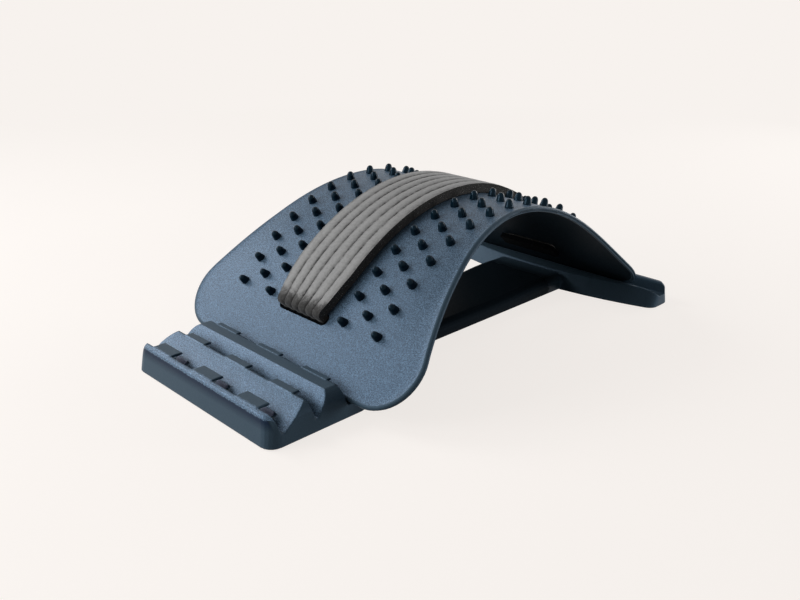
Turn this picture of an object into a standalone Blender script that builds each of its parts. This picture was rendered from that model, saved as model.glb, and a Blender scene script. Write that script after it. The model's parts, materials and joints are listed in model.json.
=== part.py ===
"""Arched back stretcher: a waisted, nubbed plastic panel bowed between a far channel and one of
three notches of a flat base, with a ribbed foam strip down its spine. Metres, +Z up.
X runs across the width, Y along the length with the notched block at the -Y end."""

import math

import bmesh
import bpy
from mathutils import Vector

# Panel: moulded flat, then bowed. Lengths along the bow are measured on its top surface, from the
# crest. The near half bends over its whole length. The far half runs out straight, at the angle
# that sets its end on the channel's floor.
near_half_length = 0.1940
near_bend_length = 0.1940
near_end_angle = math.radians(48.1)
far_half_length = 0.1925
far_bend_length = 0.1470
panel_waist_half_width = 0.0858
near_flare_half_width = 0.1252
near_flare_power = 1.58
far_flare_half_width = 0.1036
far_flare_power = 2.45
panel_corner_radius = 0.0330
panel_thickness = 0.0026
rim_width = 0.0036
rim_rise = 0.0010
rim_drop = 0.0010
rim_round_angles = (67, 45, 22, 0, -50, -70)
rim_groove_angles = (-8, -42)
rim_groove_depth = 0.0006
corner_arc_steps = 9

# The near half's flanks roll down below the bow, most at this distance from the crest.
roll_station = -0.0780
roll_reach = 0.0680
roll_start = 0.0700
roll_width = 0.0287
roll_drop = 0.0018

# Acupressure nubs: outer and inner columns share rows, the middle column sits half a row on.
nub_row_pitch = 0.0212
nub_rows_each_way = 7
nub_inner_column = 0.0410
nub_column_pitch = 0.0169
nub_base_radius = 0.0026
nub_shoulder_radius = 0.0022
nub_tip_radius = 0.0012
nub_height = 0.0065
nub_shoulder_height = 0.0043
nub_sides = 8
nub_root = 0.0008

# Foam strip, tucked down through a slot at each end.
pad_half_width = 0.0290
pad_end_half_width = 0.0246
pad_thickness = 0.0080
pad_tuck_thickness = 0.0070
pad_shoulder_radius = 0.0072
pad_tuck_depth = 0.0060
pad_rib_count = 6
pad_groove_depth = 0.0014
pad_reach = 0.1553
pad_draw_in_length = 0.0450
slot_clearance = 0.0012
slot_side_clearance = 0.0021
slot_corner_radius = 0.0046

# Running and seating clearances.
seat_gap = 0.0003
channel_clearance = 0.0015

# Notched block at the near end.
notch_pitch = 0.0262
notch_floor_z = 0.0084
notch_floor_width = 0.0020
stop_lean = 0.0034
lip_z = 0.0205
ridge_z = 0.0215
last_ridge_z = 0.0223
lip_land = 0.0045
ridge_land = 0.0012
last_ridge_land = 0.0095
slope_crown = 0.25
slope_steps = 5
near_block_half_width = 0.0806
near_front_margin = 0.0104
near_tail_length = 0.0205
near_tail_z = 0.0150
block_corner_radius = 0.0090
block_shoulder_radius = 0.0122
lip_round = 0.0030
side_draft = 0.08
front_draft = 0.16

# Tabs that overhang the notches, and the windows moulded under them.
tab_pitch = 0.0508
tab_offset = -0.0126
tab_width_outer = 0.0225
tab_width_middle = 0.0236
tab_width_inner = 0.0255
window_past_tab_outer = 0.0036
window_past_tab_middle = 0.0060
window_past_tab_inner = 0.0036
tab_thickness = 0.0019
tab_rise = 0.0004
tab_root = 0.0014
tab_overhang_outer = 0.0092
tab_overhang_middle = 0.0055
tab_overhang_inner = 0.0036
window_margin = 0.0010
window_least_reach = 0.0026
outer_window_margin = 0.0024
rail_top = 0.0112
rail_thickness = 0.0016
rail_start = 0.0046
rail_width = 0.0052
panel_notch_side = 0.0010
panel_notch_extra = 0.0012
panel_notch_depth = 0.0062

# Bridge between the two blocks.
bridge_half_width = 0.0365
bridge_z = 0.0112
bridge_edge_radius = 0.0075
bridge_arc_steps = 4
bridge_dish = 0.0006
ramp_radius = 0.6700
ramp_start = 0.0300

# Far block with the channel that the panel's fixed end stands in.
far_block_half_width = 0.1198
far_inner_edge = 0.1225
far_inner_bow_radius = 0.3550
far_land_z = 0.0142
far_wall_z = 0.0169
far_wall_top = 0.0050
far_wall_lean = 0.0016
far_outer_lean = 0.0020
far_land_round = 0.0012
far_shoulder_radius = 0.0070
far_inner_draft = 0.68
channel_mouth = 0.0060
channel_floor_z = 0.0082

# Underside: thin walls, ribs and the anti-slip pads in their bosses.
wall = 0.0024
rib = 0.0018
block_cells = 4
far_cells = 7
bridge_cells = 8
foot_radius = 0.0062
foot_recess = 0.0012
foot_drop = 0.0008
foot_boss_wall = 0.0022
foot_inset_near = 0.0170
foot_inset_far = 0.0180
foot_sides = 24

# Cutters and joined solids run past the faces that they meet by this much.
overrun = 0.0040
bow_steps = 600


def clear_scene():
    """Start from an empty scene."""
    for old in list(bpy.data.objects):
        bpy.data.objects.remove(old)


def material(name, colour, roughness, metallic=0.0):
    """A Principled material."""
    made = bpy.data.materials.new(name)
    made.use_nodes = True
    shader = made.node_tree.nodes["Principled BSDF"]
    shader.inputs["Base Color"].default_value = (*colour, 1.0)
    shader.inputs["Roughness"].default_value = roughness
    shader.inputs["Metallic"].default_value = metallic
    return made


def bend_share(distance, bend_length):
    """Share of the end angle reached at a distance from the crest: a quarter sine, as a springy
    strip bends."""
    return math.sin(math.pi / 2 * min(distance / bend_length, 1.0))


def bow_slope(station):
    """Downward slope of the bow at a distance along it. The near end is on the negative side."""
    if station < 0:
        return near_end_angle * bend_share(-station, near_bend_length)
    return far_end_angle * bend_share(station, far_bend_length)


def bow_table(length):
    """Distance from the crest and fall below it, at equal steps along one half of the bow."""
    table = [(0.0, 0.0)]
    step = length / bow_steps
    for count in range(bow_steps):
        along, fall = table[-1]
        slope = bow_slope((count + 0.5) * step)
        table.append((along + abs(step) * math.cos(slope), fall + abs(step) * math.sin(slope)))
    return table


def bow_place(station, height):
    """Distance from the crest and fall below it, of a point at a height above the panel's top."""
    length, table = (near_half_length, NEAR_BOW) if station < 0 else (far_half_length, FAR_BOW)
    reach = min(abs(station), length)
    place = reach / length * bow_steps
    index = min(int(place), bow_steps - 1)
    low, high = table[index], table[index + 1]
    share = place - index
    along = low[0] + (high[0] - low[0]) * share
    fall = low[1] + (high[1] - low[1]) * share
    slope = bow_slope(station)
    beyond = abs(station) - reach
    along += beyond * math.cos(slope) + height * math.sin(slope)
    fall += beyond * math.sin(slope) - height * math.cos(slope)
    return math.copysign(along, station), fall


# Half length, widest half width and power of the flare, at the near (-1) and the far end.
END_SHAPES = {
    -1: (near_half_length, near_flare_half_width, near_flare_power),
    1: (far_half_length, far_flare_half_width, far_flare_power),
}

# The rounded edge of the panel: its radius, and its centre at the near end.
edge_radius = (panel_thickness + rim_rise + rim_drop) / 2
edge_centre_height = rim_rise - edge_radius
NEAR_BOW = bow_table(-near_half_length)
near_edge_y, near_edge_fall = bow_place(edge_radius - near_half_length, edge_centre_height)

# Notch places, from the outermost to the one that holds the panel in the photographed position.
notches = [near_edge_y - edge_radius - seat_gap - notch_pitch * back for back in (2, 1, 0)]
stop_tops = [lip_z, ridge_z, last_ridge_z]
stop_lands = [lip_land, ridge_land, last_ridge_land]
tab_overhangs = [tab_overhang_outer, tab_overhang_middle, tab_overhang_inner]
tab_widths = [tab_width_outer, tab_width_middle, tab_width_inner]
windows_past_tabs = [window_past_tab_outer, window_past_tab_middle, window_past_tab_inner]
front_y = notches[0] - near_front_margin
tail_y = notches[2] + near_tail_length
tooth_run = notch_pitch - notch_floor_width - stop_lean - ridge_land


def slope_height(distance):
    """Height of a tooth's crowned slope at a distance from the foot of its notch."""
    share = max(0.0, (distance - notch_floor_width) / tooth_run)
    return notch_floor_z + (ridge_z - notch_floor_z) * share * (1 + slope_crown * (1 - share))


def seat_height():
    """Height of the panel's near edge centre when its round edge rests on the tooth's slope."""
    reach = edge_radius + seat_gap
    probe = reach / 4
    distance = reach
    rise = slope_height(distance + probe) - slope_height(distance - probe)
    lean = math.atan2(rise, 2 * probe)
    return slope_height(distance) + reach / math.cos(lean)


crest_z = seat_height() + near_edge_fall
axis_z = channel_floor_z + seat_gap + edge_radius


def far_edge_fall(end_angle):
    """Fall from the crest to the centre of the far edge, for an end angle of the far half."""
    step = (far_half_length - edge_radius) / bow_steps
    slopes = [end_angle * bend_share((count + 0.5) * step, far_bend_length) for count in range(bow_steps)]
    return step * sum(math.sin(slope) for slope in slopes) - edge_centre_height * math.cos(end_angle)


def far_angle_that_seats():
    """The far half's end angle at which its edge stands on the channel's floor."""
    low, high = 0.0, math.pi / 2
    for _ in range(40):
        middle = (low + high) / 2
        if far_edge_fall(middle) < crest_z - axis_z:
            low = middle
        else:
            high = middle
    return (low + high) / 2


far_end_angle = far_angle_that_seats()
FAR_BOW = bow_table(far_half_length)
axis_y = bow_place(far_half_length - edge_radius, edge_centre_height)[0]
channel_outer_y = axis_y + edge_radius + channel_clearance
channel_inner_y = axis_y - edge_radius - channel_clearance
back_y = channel_outer_y + far_wall_lean + far_wall_top + far_outer_lean
centre_shift = -(front_y + back_y) / 2


def new_object(name, mesh):
    """Link a mesh to the scene as an object."""
    made = bpy.data.objects.new(name, mesh)
    bpy.context.scene.collection.objects.link(made)
    return made


def object_from(name, points, faces):
    """An object with its faces turned outwards."""
    mesh = bpy.data.meshes.new(name)
    mesh.from_pydata([tuple(point) for point in points], [], faces)
    work = bmesh.new()
    work.from_mesh(mesh)
    bmesh.ops.recalc_face_normals(work, faces=work.faces)
    work.to_mesh(mesh)
    work.free()
    return new_object(name, mesh)


def loft(name, rings):
    """A closed solid through rings of equal count, with flat ends."""
    count = len(rings[0])
    points = [point for ring in rings for point in ring]
    faces = []
    for level in range(len(rings) - 1):
        for index in range(count):
            following = (index + 1) % count
            low = level * count
            faces.append((low + index, low + following, low + count + following, low + count + index))
    faces.append(tuple(range(count)))
    faces.append(tuple(range(len(points) - count, len(points))))
    return object_from(name, points, faces)


def prism(name, outline, axis, low, high):
    """An outline pushed along X, Y or Z between two places."""
    places = {
        "X": lambda a, b, c: (c, a, b),
        "Y": lambda a, b, c: (a, c, b),
        "Z": lambda a, b, c: (a, b, c),
    }
    put = places[axis]
    return loft(name, [[put(a, b, end) for a, b in outline] for end in (low, high)])


def box(name, low, high):
    """A block between two corners."""
    outline = [(low[0], low[1]), (high[0], low[1]), (high[0], high[1]), (low[0], high[1])]
    return prism(name, outline, "Z", low[2], high[2])


def rounded_outline(corners, steps):
    """A closed outline whose corners, given as (a, b, radius), are rounded by arcs."""
    points = []
    for index, (a, b, radius) in enumerate(corners):
        here = Vector((a, b))
        if radius <= 0.0:
            points.append((a, b))
            continue
        before = Vector(corners[index - 1][:2]) - here
        after = Vector(corners[(index + 1) % len(corners)][:2]) - here
        half_angle = before.angle(after) / 2
        reach = min(radius / math.tan(half_angle), 0.48 * before.length, 0.48 * after.length)
        radius = reach * math.tan(half_angle)
        middle = here + (before.normalized() + after.normalized()).normalized() * radius / math.sin(half_angle)
        start = here + before.normalized() * reach - middle
        end = here + after.normalized() * reach - middle
        turn = start.angle_signed(end)
        for step in range(steps + 1):
            angle = -turn * step / steps
            swung = Vector((
                start.x * math.cos(angle) - start.y * math.sin(angle),
                start.x * math.sin(angle) + start.y * math.cos(angle),
            ))
            points.append(tuple(middle + swung))
    return points


def take_result(body):
    """Replace an object's mesh by the result of its modifiers."""
    depsgraph = bpy.context.evaluated_depsgraph_get()
    mesh = bpy.data.meshes.new_from_object(body.evaluated_get(depsgraph))
    body.modifiers.clear()
    old = body.data
    body.data = mesh
    bpy.data.meshes.remove(old)


def combine(body, tool, operation):
    """Join, cut or intersect two solids, and drop the tool."""
    modifier = body.modifiers.new(operation.lower(), "BOOLEAN")
    modifier.operation = operation
    modifier.solver = "EXACT"
    modifier.object = tool
    take_result(body)
    bpy.data.objects.remove(tool)
    return body


def gather(name, pieces):
    """One object holding several solids that don't touch."""
    work = bmesh.new()
    for piece in pieces:
        work.from_mesh(piece.data)
        bpy.data.objects.remove(piece)
    mesh = bpy.data.meshes.new(name)
    work.to_mesh(mesh)
    work.free()
    return new_object(name, mesh)


def finish(body, shade_angle, look):
    """Weld the cuts' leftovers, shade and colour."""
    work = bmesh.new()
    work.from_mesh(body.data)
    bmesh.ops.remove_doubles(work, verts=work.verts, dist=0.000002)
    bmesh.ops.dissolve_degenerate(work, edges=work.edges, dist=0.000002)
    bmesh.ops.triangulate(work, faces=work.faces)
    work.to_mesh(body.data)
    work.free()
    body.data.shade_smooth()
    body.data.set_sharp_from_angle(angle=shade_angle)
    body.data.materials.clear()
    body.data.materials.append(look)


# Panel

def flare(station, end):
    """Half the panel's width, narrowest at the crest, and the angle of its side edge there."""
    length, widest, power = END_SHAPES[end]
    reach = length - panel_corner_radius
    share = station / reach
    growth = widest - panel_waist_half_width
    slope = growth / reach * power * share ** (power - 1)
    return panel_waist_half_width + growth * share ** power, math.atan(slope)


def corner_start(end):
    """Station where the side edge runs into the corner's arc without a kink."""
    length = END_SHAPES[end][0]
    station = length - panel_corner_radius
    for _ in range(40):
        station = length - panel_corner_radius * (1 + math.sin(flare(station, end)[1]))
    return station


def strip_stations(limit):
    """Stations midway between nub rows, where the panel folds between its flat strips."""
    half_row = nub_row_pitch / 2
    count = int(limit / half_row + 0.5)
    stations = [half_row * (index + 0.5) for index in range(count + 1)]
    return [station for station in stations if station < limit - half_row / 8]


def quarter_outline(end):
    """Points and outward normals of a quarter of the panel's flat outline, at one of its ends."""
    start = corner_start(end)
    quarter = []
    for station in strip_stations(start):
        half, angle = flare(station, end)
        quarter.append((half, station, math.cos(angle), -math.sin(angle)))
    half, angle = flare(start, end)
    first = -angle
    centre_x = half - panel_corner_radius * math.cos(first)
    centre_s = END_SHAPES[end][0] - panel_corner_radius
    for step in range(corner_arc_steps + 1):
        angle = first + (math.pi / 2 - first) * step / corner_arc_steps
        out = (math.cos(angle), math.sin(angle))
        quarter.append((
            centre_x + panel_corner_radius * out[0],
            centre_s + panel_corner_radius * out[1],
            *out,
        ))
    return quarter


def panel_outline():
    """The whole flat outline with outward normals, once round."""
    loop = []
    for side, end in ((1, 1), (-1, 1), (-1, -1), (1, -1)):
        quarter = quarter_outline(end)
        part = quarter if side * end > 0 else reversed(quarter)
        loop.extend((x * side, s * end, nx * side, ns * end) for x, s, nx, ns in part)
    return loop


def rim_section():
    """Inset from the outline and height, round the panel's thick rounded edge and its groove."""
    section = [(rim_width, 0.0), (edge_radius, rim_rise)]
    for degrees in sorted(rim_round_angles + rim_groove_angles, reverse=True):
        radius = edge_radius - (rim_groove_depth if degrees in rim_groove_angles else 0.0)
        angle = math.radians(degrees)
        section.append((edge_radius - radius * math.cos(angle), edge_centre_height + radius * math.sin(angle)))
    section += [(edge_radius, -panel_thickness - rim_drop), (rim_width, -panel_thickness)]
    return section


def flat_panel():
    """The panel as it is moulded, lying flat: x, station, height."""
    loop = panel_outline()
    rings = [[(x - nx * inset, s - ns * inset, h) for x, s, nx, ns in loop] for inset, h in rim_section()]
    return loft("arch_panel", rings)


def nub(x, station):
    """One blunt nub standing on the flat panel."""
    rings = []
    profile = (
        (nub_base_radius, -nub_root),
        (nub_shoulder_radius, nub_shoulder_height),
        (nub_tip_radius, nub_height),
    )
    for radius, height in profile:
        angles = [2 * math.pi * (index + 0.5) / nub_sides for index in range(nub_sides)]
        rings.append([(x + radius * math.cos(a), station + radius * math.sin(a), height) for a in angles])
    return loft("nub", rings)


def nub_places():
    """Every nub's place on the flat panel, three columns on each side of the foam strip."""
    places = []
    for column in range(3):
        x = nub_inner_column + nub_column_pitch * column
        staggered = column == 1
        count = 2 * nub_rows_each_way + (0 if staggered else 1)
        first = -nub_row_pitch * (nub_rows_each_way - (0.5 if staggered else 0.0))
        for row in range(count):
            station = first + nub_row_pitch * row
            places += [(x, station), (-x, station)]
    return places


def pad_slot(end):
    """The slot that the foam strip's end goes down through."""
    side = pad_end_half_width + slot_side_clearance
    inner = pad_reach - pad_tuck_thickness - slot_clearance
    outer = pad_reach + slot_clearance
    corners = [(-side, inner), (side, inner), (side, outer), (-side, outer)]
    outline = rounded_outline([(x, s * end, slot_corner_radius) for x, s in corners], 3)
    return prism("slot", outline, "Z", -panel_thickness - rim_drop - overrun, overrun)


def tab_left(index):
    """Low X of a tab, which sits against the low X side of its window."""
    return tab_pitch * (index - 1) + tab_offset


def window_right(row, index):
    """High X of a window, which runs on past its tab."""
    return tab_left(index) + tab_widths[row] + windows_past_tabs[row]


def edge_notch(index):
    """A cut in the panel's near edge that leaves room for a tab."""
    low = tab_left(index) - panel_notch_side
    high = tab_left(index) + tab_width_inner + panel_notch_extra
    inner = -near_half_length + panel_notch_depth
    corners = [
        (low, -near_half_length - overrun, 0.0),
        (high, -near_half_length - overrun, 0.0),
        (high, inner, window_margin),
        (low, inner, window_margin),
    ]
    return prism("notch", rounded_outline(corners, 2), "Z", -panel_thickness - rim_drop - overrun, overrun)


def fold_lines(body):
    """Cut the flat panel across at every fold station, so that it can follow the bow."""
    work = bmesh.new()
    work.from_mesh(body.data)
    for station in strip_stations(max(near_half_length, far_half_length)):
        for signed in (station, -station):
            everything = list(work.verts) + list(work.edges) + list(work.faces)
            bmesh.ops.bisect_plane(work, geom=everything, dist=0.000001,
                                   plane_co=(0, signed, 0), plane_no=(0, 1, 0))
    bmesh.ops.triangulate(work, faces=work.faces)
    work.to_mesh(body.data)
    work.free()


def flank_roll(x, station):
    """How far the near half's flanks roll down below the bow."""
    across = max(0.0, min(1.0, (abs(x) - roll_start) / roll_width))
    along = max(-1.0, min(1.0, (station - roll_station) / roll_reach))
    return roll_drop * across ** 2 * math.cos(math.pi / 2 * along)


def bow(body):
    """Carry a flat mesh onto the bow, measured from the hinge axis at the far end."""
    for vertex in body.data.vertices:
        x, station, height = vertex.co
        along, fall = bow_place(station, height - flank_roll(x, station))
        vertex.co = (x, along - axis_y, crest_z - fall - axis_z)


def arch_panel(look):
    """The waisted panel with its rim, nubs, pad slots and edge cut-outs."""
    body = flat_panel()
    combine(body, gather("nubs", [nub(*place) for place in nub_places()]), "UNION")
    cuts = [pad_slot(1), pad_slot(-1)] + [edge_notch(index) for index in range(3)]
    combine(body, gather("cuts", cuts), "DIFFERENCE")
    fold_lines(body)
    bow(body)
    finish(body, math.radians(35), look)
    return body


# Foam strip

def pad_width_at(station):
    """Half width of the strip, drawn in where it narrows towards its slots."""
    start = pad_reach - pad_draw_in_length
    share = max(0.0, min(1.0, (abs(station) - start) / pad_draw_in_length))
    ease = share * share * (3 - 2 * share)
    return pad_half_width + (pad_end_half_width - pad_half_width) * ease


def pad_half_path():
    """Outer point, its normal and the inner point, from the crest down to the tucked end."""
    top = seat_gap + pad_thickness
    inner = pad_reach - pad_tuck_thickness
    arc_s = pad_reach - pad_shoulder_radius
    arc_h = top - pad_shoulder_radius
    foot = -panel_thickness - pad_tuck_depth
    path = [((s, top), (0.0, 1.0), (s, seat_gap)) for s in strip_stations(arc_s - nub_row_pitch / 8)]
    steps = 5
    for step in range(steps + 1):
        angle = math.pi / 2 * (1 - step / steps)
        normal = (math.cos(angle), math.sin(angle))
        outer = (arc_s + pad_shoulder_radius * normal[0], arc_h + pad_shoulder_radius * normal[1])
        path.append((outer, normal, (inner, seat_gap - panel_thickness * 1.2 * step / steps)))
    path.append(((pad_reach, foot), (1.0, 0.0), (inner, foot)))
    return path


def pad_ring(outer, normal, inner):
    """One section across the strip: its ribbed outer side and its flat inner side."""
    half = pad_width_at(outer[0])
    ring = []
    per_rib = 4
    for index in range(pad_rib_count * per_rib + 1):
        share = index / (pad_rib_count * per_rib)
        sink = pad_groove_depth * (1 - math.sin(math.pi * (index % per_rib) / per_rib))
        ring.append((half * (2 * share - 1), outer[0] - normal[0] * sink, outer[1] - normal[1] * sink))
    ring += [(half, *inner), (-half, *inner)]
    return ring


def mirrored(ring):
    """A section of the strip at the other end of the panel."""
    return [(x, -s, h) for x, s, h in ring]


def foam_pad(look):
    """The ribbed foam strip, laid over the bow and tucked through its slots."""
    half = [pad_ring(*place) for place in pad_half_path()]
    rings = [mirrored(ring) for ring in reversed(half)] + half
    body = loft("foam_pad", rings)
    bow(body)
    finish(body, math.radians(50), look)
    return body


# Base

def rolled_inset(height, draft, shoulder_z, radius):
    """How far a wall has come in at a height: draft up to its shoulder, then a round shoulder."""
    inset = draft * min(height, shoulder_z)
    if height > shoulder_z:
        rise = min(height - shoulder_z, radius * 0.999)
        inset += radius - math.sqrt(radius * radius - rise * rise)
    return inset


def near_envelope(shrink):
    """The notched block's outer skin, or the hollow inside it when shrunk by a wall."""
    top = last_ridge_z + rim_rise
    side_shoulder = top - block_shoulder_radius
    front_shoulder = lip_z - lip_round
    levels = [0.0, side_shoulder] + [side_shoulder + block_shoulder_radius * math.sin(math.radians(a))
                                     for a in (20, 38, 52, 64, 74, 82)]
    levels = sorted(levels + [front_shoulder, front_shoulder + lip_round * 0.7, lip_z])
    rings = []
    for level in levels:
        half = near_block_half_width - shrink - rolled_inset(level, side_draft, side_shoulder, block_shoulder_radius)
        front = front_y + shrink + rolled_inset(level, front_draft, front_shoulder, lip_round)
        tail = tail_y - shrink - side_draft * level
        radius = block_corner_radius - shrink
        corners = [(half, front, radius), (half, tail, radius), (-half, tail, radius), (-half, front, radius)]
        rings.append([(x, y, level - shrink) for x, y in rounded_outline(corners, 5)])
    return loft("near_envelope", rings)


def tooth_slope(foot, crest_y, crest_height):
    """Corners up the crowned slope of a tooth, from its notch to its crest."""
    corners = []
    start = foot + notch_floor_width
    for step in range(1, slope_steps):
        share = step / slope_steps
        height = notch_floor_z + (crest_height - notch_floor_z) * share * (1 + slope_crown * (1 - share))
        corners.append((start + (crest_y - start) * share, height, 0.0))
    return corners


def tooth_profile():
    """Side view of the block's top: lip, notch, slope, ridge, and again to the tail."""
    corners = [(front_y - overrun, -overrun, 0.0), (front_y - overrun, lip_z, 0.0)]
    for index, foot in enumerate(notches):
        top = stop_tops[index]
        if index:
            crest = foot - stop_lean - stop_lands[index]
            corners += tooth_slope(notches[index - 1], crest, top)
            corners.append((crest, top, 0.0))
        corners.append((foot - stop_lean, top, window_margin))
        corners += [(foot, notch_floor_z, notch_floor_width / 3), (foot + notch_floor_width, notch_floor_z, 0.0)]
    steps = 3
    for step in range(1, steps + 1):
        distance = notch_floor_width + (near_tail_length / 2 - notch_floor_width) * step / steps
        corners.append((notches[2] + distance, min(slope_height(distance), near_tail_z), 0.0))
    corners += [(tail_y + overrun, near_tail_z, 0.0), (tail_y + overrun, -overrun, 0.0)]
    return rounded_outline(corners, 3)


def near_block():
    """The notched block, solid."""
    half = near_block_half_width + overrun
    body = prism("base", tooth_profile(), "X", -half, half)
    return combine(body, near_envelope(0.0), "INTERSECT")


def tooth_cells():
    """Side views of the hollows under the lip, the two full teeth and the tail."""
    cells = []
    low = -overrun
    first = notches[0]
    lip_roof = notch_floor_z + wall
    lean_there = stop_lean * (lip_roof - notch_floor_z) / (lip_z - notch_floor_z)
    front = front_y + wall
    cells.append([(front, low), (front + front_draft * lip_roof, lip_roof),
                  (first - lean_there - wall, lip_roof), (first - wall, notch_floor_z), (first - wall, low)])
    for index in (0, 1):
        foot, next_foot = notches[index], notches[index + 1]
        top = stop_tops[index + 1] - wall
        crest = next_foot - stop_lean - stop_lands[index + 1]
        slope = [(y, z - wall) for y, z, _ in tooth_slope(foot, crest, stop_tops[index + 1])]
        crest_end = next_foot - stop_lean - wall
        cell = [(foot, low), (foot, notch_floor_z - wall), (foot + notch_floor_width, notch_floor_z - wall)]
        cell += [point for point in slope if point[0] < crest_end - wall]
        cell += [(crest_end, top), (next_foot - wall, notch_floor_z), (next_foot - wall, low)]
        cells.append(cell)
    foot = notches[2]
    middle = near_tail_length / 2
    roof = min(slope_height(middle), near_tail_z) - wall
    cells.append([(foot, low), (foot, notch_floor_z - wall), (foot + notch_floor_width, notch_floor_z - wall),
                  (foot + middle, roof), (tail_y, roof), (tail_y, low)])
    return cells


def bands(low, high, count, between):
    """Split a width into equal bands with a rib between neighbours."""
    each = (high - low - between * (count - 1)) / count
    return [(low + index * (each + between), low + index * (each + between) + each) for index in range(count)]


def foot_places():
    """Centres of the anti-slip pads, two under each block."""
    near = (near_block_half_width - foot_inset_near, (notches[0] + notches[1] - wall) / 2)
    far = (far_block_half_width - foot_inset_far, (channel_inner_y + back_y) / 2 - far_outer_lean)
    return {
        "near_left": (-near[0], near[1]),
        "near_right": near,
        "far_left": (-far[0], far[1]),
        "far_right": far,
    }


def disc(name, x, y, radius, low, high):
    """An upright cylinder."""
    angles = [2 * math.pi * index / foot_sides for index in range(foot_sides)]
    return prism(name, [(x + radius * math.cos(a), y + radius * math.sin(a)) for a in angles], "Z", low, high)


def bosses(low, high):
    """The posts that carry the anti-slip pads."""
    radius = foot_radius + slot_clearance + foot_boss_wall
    return gather("bosses", [disc("boss", x, y, radius, low, high) for x, y in foot_places().values()])


def near_hollow():
    """Everything that is empty inside the notched block."""
    half = near_block_half_width
    pieces = []
    for cell in tooth_cells():
        for low, high in bands(-half, half, block_cells, rib):
            pieces.append(prism("cell", cell, "X", low, high))
    body = gather("near_hollow", pieces)
    return combine(body, near_envelope(wall), "INTERSECT")


def ramp_height(x, y):
    """Top of the bridge: flat and slightly dished, then swept up to the far block's land."""
    share = x / bridge_half_width
    climb = max(0.0, y - ramp_start)
    height = bridge_z - bridge_dish * (1 - share * share) + climb * climb / (2 * ramp_radius)
    return min(height, far_land_z - seat_gap)


def bridge():
    """The flat span between the blocks."""
    start = tail_y - overrun - wall
    end = far_inner_edge + overrun + wall
    steps = 10
    stations = [start, ramp_start] + [ramp_start + (end - ramp_start) * (i + 1) / steps for i in range(steps)]
    inner = bridge_half_width - bridge_edge_radius
    across = [inner * (i / 3 - 1) for i in range(7)]
    rings = []
    for y in stations:
        edge_z = ramp_height(inner, y)
        shoulder = [(-bridge_half_width, y, 0.0)]
        for step in range(bridge_arc_steps):
            angle = math.pi / 2 * step / bridge_arc_steps
            x = -inner - bridge_edge_radius * math.cos(angle)
            shoulder.append((x, y, edge_z - bridge_edge_radius * (1 - math.sin(angle))))
        top = [(x, y, ramp_height(x, y)) for x in across]
        rings.append(shoulder + top + [(-x, y, z) for x, y, z in reversed(shoulder)])
    return loft("bridge", rings)


def bridge_hollow():
    """Pockets under the bridge, either side of its spine rib."""
    start = tail_y + rib
    end = far_inner_edge - rib
    side = bridge_half_width - wall - bridge_edge_radius / 3
    roof = bridge_z - bridge_dish - wall
    pieces = []
    for low_y, high_y in bands(start, end, bridge_cells, rib):
        for low_x, high_x in bands(-side, side, 2, rib):
            pieces.append(box("pocket", (low_x, low_y, -overrun), (high_x, high_y, roof)))
    return gather("bridge_hollow", pieces)


def far_plan(level, shrink):
    """The far block seen from above at a height: bowed inner side, straight outer side."""
    side_shoulder = far_wall_z + rim_rise - far_shoulder_radius
    half = far_block_half_width - shrink - rolled_inset(level, side_draft, side_shoulder, far_shoulder_radius)
    inner_shoulder = far_land_z - far_land_round
    inset = rolled_inset(level, far_inner_draft, inner_shoulder, far_land_round)
    outer = back_y - shrink - far_outer_lean * level / far_wall_z
    steps = 6
    corners = []
    for step in range(-steps, steps + 1):
        x = half * step / steps
        y = far_inner_edge + shrink + inset + x * x / (2 * far_inner_bow_radius)
        at_end = abs(step) == steps
        corners.append((x, y, block_corner_radius - shrink if at_end else 0.0))
    corners += [(half, outer, block_corner_radius - shrink), (-half, outer, block_corner_radius - shrink)]
    return rounded_outline(corners, 5)


def far_envelope(shrink):
    """The far block's outer skin, or the hollow inside it when shrunk by a wall."""
    top = far_wall_z + rim_rise
    side_shoulder = top - far_shoulder_radius
    levels = [0.0, side_shoulder] + [side_shoulder + far_shoulder_radius * math.sin(math.radians(a))
                                     for a in (25, 45, 62, 76, 85)]
    levels = sorted(levels + [far_land_z - far_land_round, far_land_z])
    rings = []
    for level in levels:
        rings.append([(x, y, level - shrink) for x, y in far_plan(level, shrink)])
    return loft("far_envelope", rings)


def far_profile():
    """Side view of the far block's top: land, channel and outer wall."""
    wall_inner = channel_outer_y + far_wall_lean
    corners = [
        (far_inner_edge - overrun, -overrun, 0.0),
        (far_inner_edge - overrun, far_land_z, 0.0),
        (channel_inner_y - channel_mouth, far_land_z, window_margin),
        (channel_inner_y, channel_floor_z, window_margin),
        (channel_outer_y, channel_floor_z, window_margin),
        (wall_inner, far_wall_z, far_wall_top * 0.4),
        (wall_inner + far_wall_top, far_wall_z, far_wall_top * 0.4),
        (back_y + overrun, far_land_z / 2, 0.0),
        (back_y + overrun, -overrun, 0.0),
    ]
    return rounded_outline(corners, 4)


def far_block():
    """The far block, solid."""
    half = far_block_half_width + overrun
    body = prism("far_block", far_profile(), "X", -half, half)
    return combine(body, far_envelope(0.0), "INTERSECT")


def far_hollow():
    """Everything that is empty inside the far block."""
    low = -overrun
    roof = far_land_z - wall
    under = channel_floor_z - wall
    cell = [
        (far_inner_edge, low),
        (far_inner_edge, roof),
        (channel_inner_y - channel_mouth - wall, roof),
        (channel_inner_y - wall / 2, under),
        (back_y, under),
        (back_y, low),
    ]
    half = far_block_half_width
    pieces = [prism("cell", cell, "X", a, b) for a, b in bands(-half, half, far_cells, rib)]
    return combine(gather("far_hollow", pieces), far_envelope(wall), "INTERSECT")


def tab_end(row):
    """Y of the free edge of a row's tabs."""
    return notches[row] - stop_lean + tab_overhangs[row]


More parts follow.
